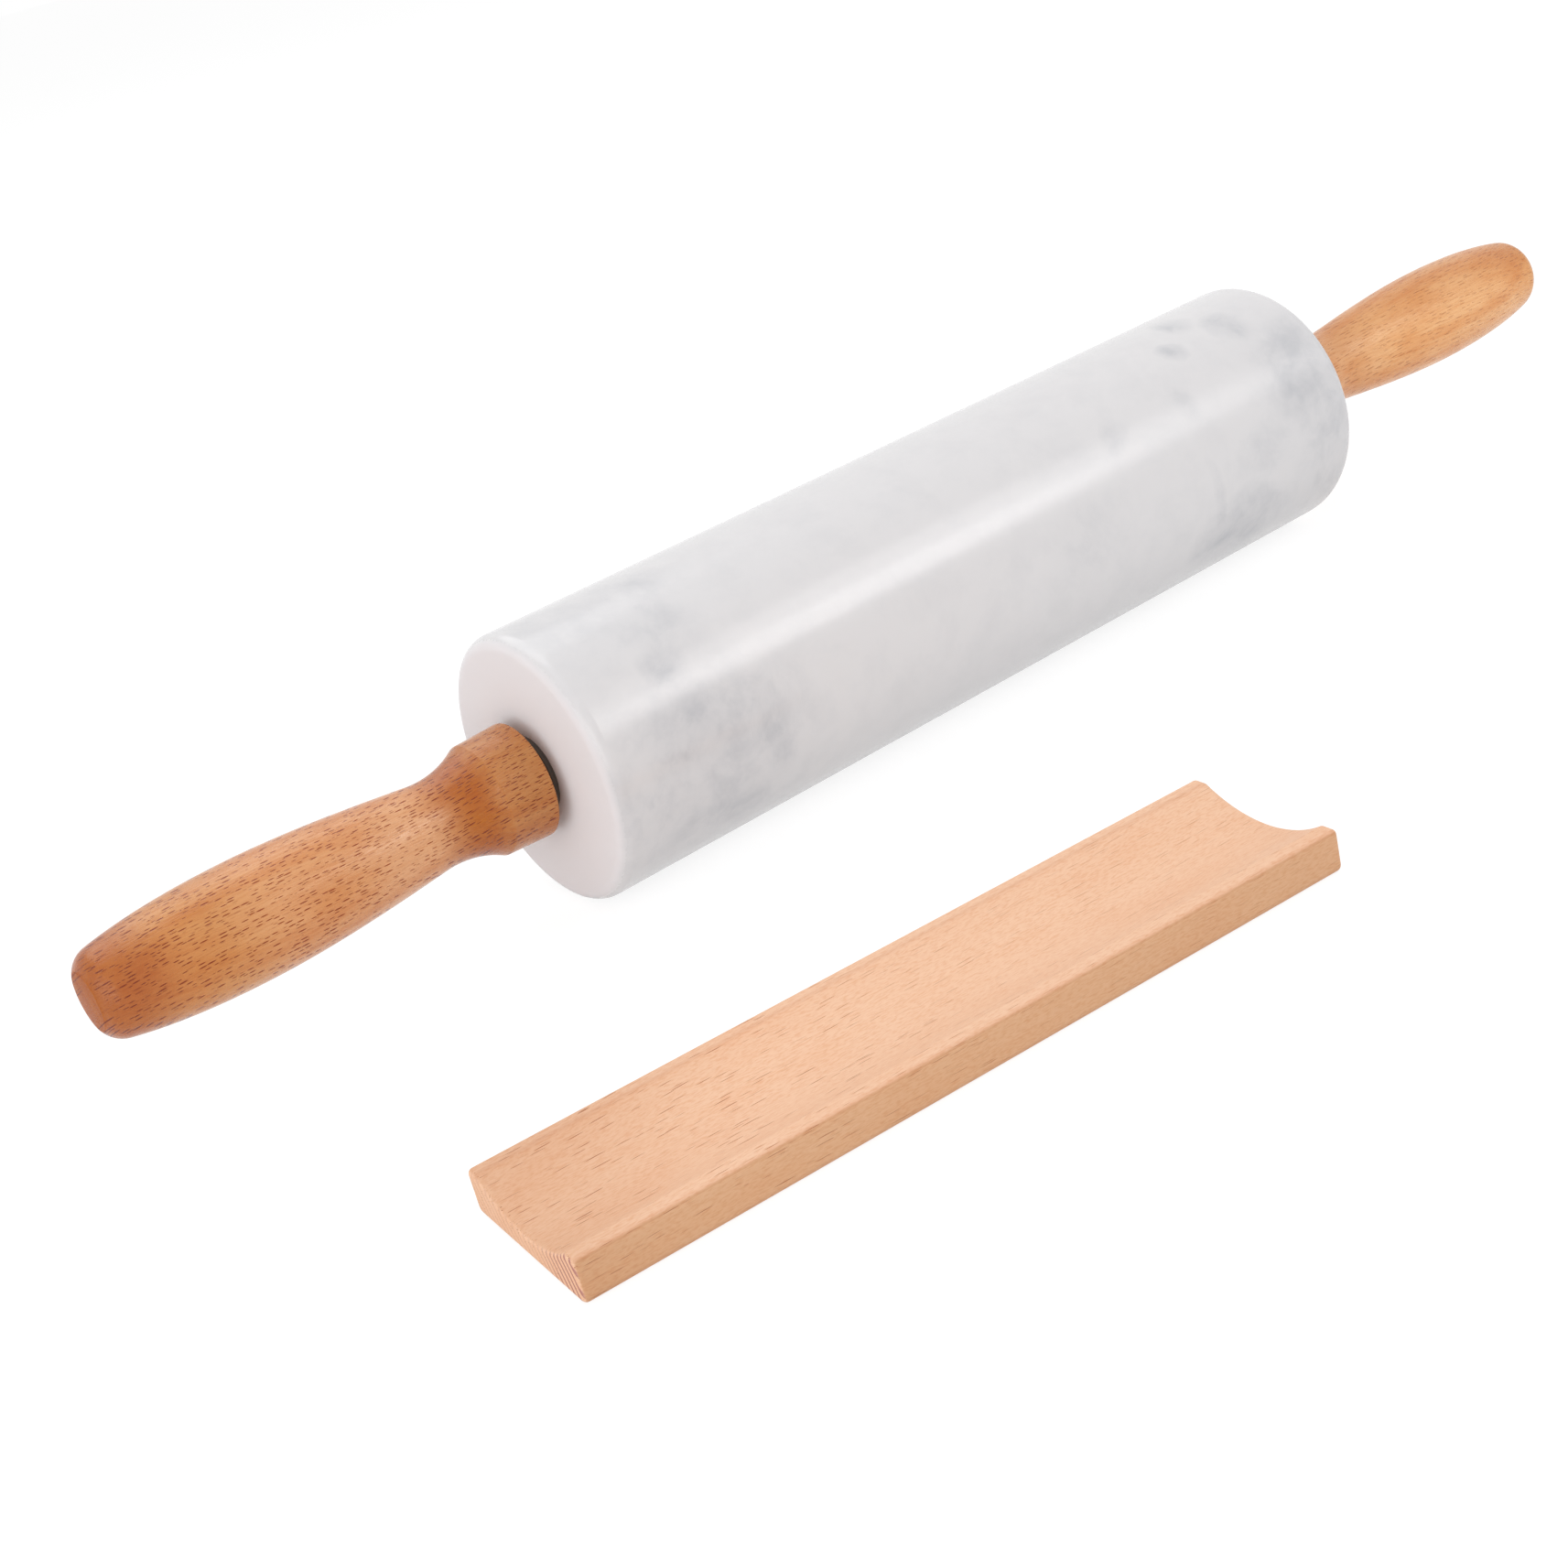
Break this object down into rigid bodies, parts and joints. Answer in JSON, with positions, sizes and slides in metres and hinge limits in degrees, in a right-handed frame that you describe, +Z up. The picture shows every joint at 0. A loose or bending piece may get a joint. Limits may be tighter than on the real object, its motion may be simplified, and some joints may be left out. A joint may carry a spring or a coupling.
{
  "type": "marble rolling pin with cradle",
  "caption": "Marble rolling pin: a bored stone barrel spins on a steel axle between turned beech handles; a troughed beech cradle stands in front of it to store it.",
  "frame": {"origin": "middle of the cradle's underside, on the worktop", "axes": "+X along the cradle, away from the picture's near end; +Y from the cradle to the pin; +Z up. The pin's own axis is turned 5.1 degrees from +X towards +Y, as it lies in the picture."},
  "size_m": [0.4556, 0.1905, 0.0645],
  "materials": {
    "marble": "honed, satin",
    "handle_beech": "oiled, satin",
    "cradle_beech": "bare, sanded",
    "steel": "ground",
    "brass": "machined",
    "nylon": "moulded"
  },
  "bodies": {
    "cradle": {"cradle": "cradle_beech"},
    "spindle": {"axle": "steel", "thrust_washer_left": "steel", "thrust_washer_right": "steel", "threaded_insert_left": "brass", "threaded_insert_right": "brass", "handle_left": "handle_beech", "handle_right": "handle_beech"},
    "barrel": {"marble_barrel": "marble", "bush_left": "nylon", "bush_right": "nylon"}
  },
  "joints": [
    {"name": "pin_lift", "type": "slide", "parent": "cradle", "child": "spindle", "axis": [0, 0, 1], "range_m": [0, 0.12]},
    {"name": "barrel_spin", "type": "hinge", "parent": "spindle", "child": "barrel", "pos_m": [0.102, 0.127, 0.03225], "axis": [0.996, 0.0889, 0], "continuous": true}
  ]
}
